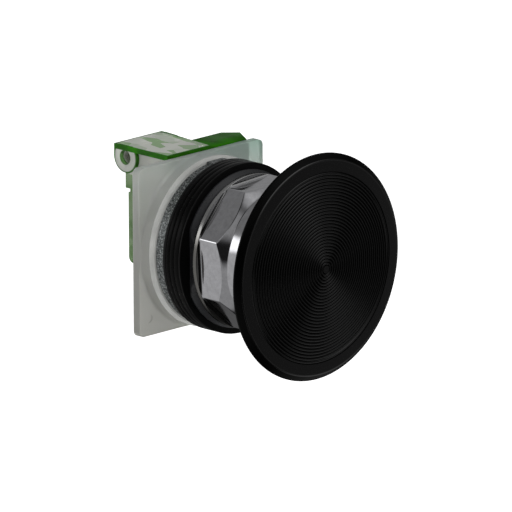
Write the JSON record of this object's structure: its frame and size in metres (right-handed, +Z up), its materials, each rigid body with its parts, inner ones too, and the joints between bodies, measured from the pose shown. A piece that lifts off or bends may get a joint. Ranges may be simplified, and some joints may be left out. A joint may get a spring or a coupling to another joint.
{
  "type": "mushroom push button",
  "caption": "Panel-mounted industrial push button: domed mushroom head on a spring-returned stem, ring nut, panel rings, square base plate and contact block.",
  "frame": {"origin": "on the axis of the panel hole, in the plane that the panel is clamped against", "axes": "+X right, +Y into the panel along the button's axis, +Z up; the button faces -Y"},
  "size_m": [0.0572, 0.0664, 0.0572],
  "materials": {
    "head_black": "satin, turned rings",
    "hub_black": "satin moulded",
    "black_steel": "black oxide",
    "white_plastic": "moulded",
    "spring_steel": "drawn wire",
    "nut_chrome": "polished plating",
    "dark_plate": "dark plating",
    "black_rubber": "matte",
    "ring_black": "matte",
    "zinc_cast": "speckled die-cast",
    "plated_steel": "zinc plated",
    "milky_plastic": "milky translucent",
    "green_plastic": "clear, deep green",
    "clear_plastic": "clear, faintly green",
    "contact_brass": "stamped",
    "tinned_metal": "tin plated",
    "tip_silver": "silver"
  },
  "bodies": {
    "operator": {"ring_nut": "nut_chrome", "trim_washer": "dark_plate", "front_gasket": "black_rubber", "spacer_ring_c": "ring_black", "spacer_ring_b": "ring_black", "spacer_ring_a": "ring_black", "rear_gasket": "black_rubber", "operator_body": "zinc_cast", "shaft_seal": "black_rubber", "spring_retainer": "plated_steel", "retaining_ring": "spring_steel", "base_plate": "milky_plastic", "base_screws": "plated_steel", "contact_base": "green_plastic", "contact_housing": "clear_plastic", "block_screws": "plated_steel", "fixed_contact_left": "tinned_metal", "fixed_contact_right": "tinned_metal", "fixed_tips": "tip_silver", "terminal_tube_left": "tinned_metal", "terminal_tube_right": "tinned_metal", "terminal_screws": "plated_steel"},
    "button": {"mushroom_head": "head_black", "head_hub": "hub_black", "hub_set_screw": "black_steel", "plunger": "white_plastic", "return_spring": "spring_steel"},
    "pusher": {"contact_plunger": "white_plastic", "contact_clip": "spring_steel", "reset_spring": "spring_steel"},
    "contact_bridge": {"bridge": "contact_brass", "bridge_tips": "tip_silver", "contact_spring": "spring_steel"}
  },
  "joints": [
    {"name": "press", "type": "slide", "parent": "operator", "child": "button", "axis": [0, 1, 0], "range_m": [0, 0.005], "stiffness_N_per_m": 1500, "springref_m": -0.006, "deforming": ["return_spring"]},
    {"name": "pusher_slide", "type": "slide", "parent": "operator", "child": "pusher", "axis": [0, 1, 0], "range_m": [0, 0.005], "stiffness_N_per_m": 200, "springref_m": -0.004, "deforming": ["reset_spring"]},
    {"name": "bridge_slide", "type": "slide", "parent": "operator", "child": "contact_bridge", "axis": [0, 1, 0], "range_m": [0, 0.00295], "deforming": ["contact_spring"]}
  ],
  "couplings": [
    {"joint": "pusher_slide", "follows": "press", "ratio": 1},
    {"joint": "bridge_slide", "follows": "press", "ratio": 0.59}
  ]
}
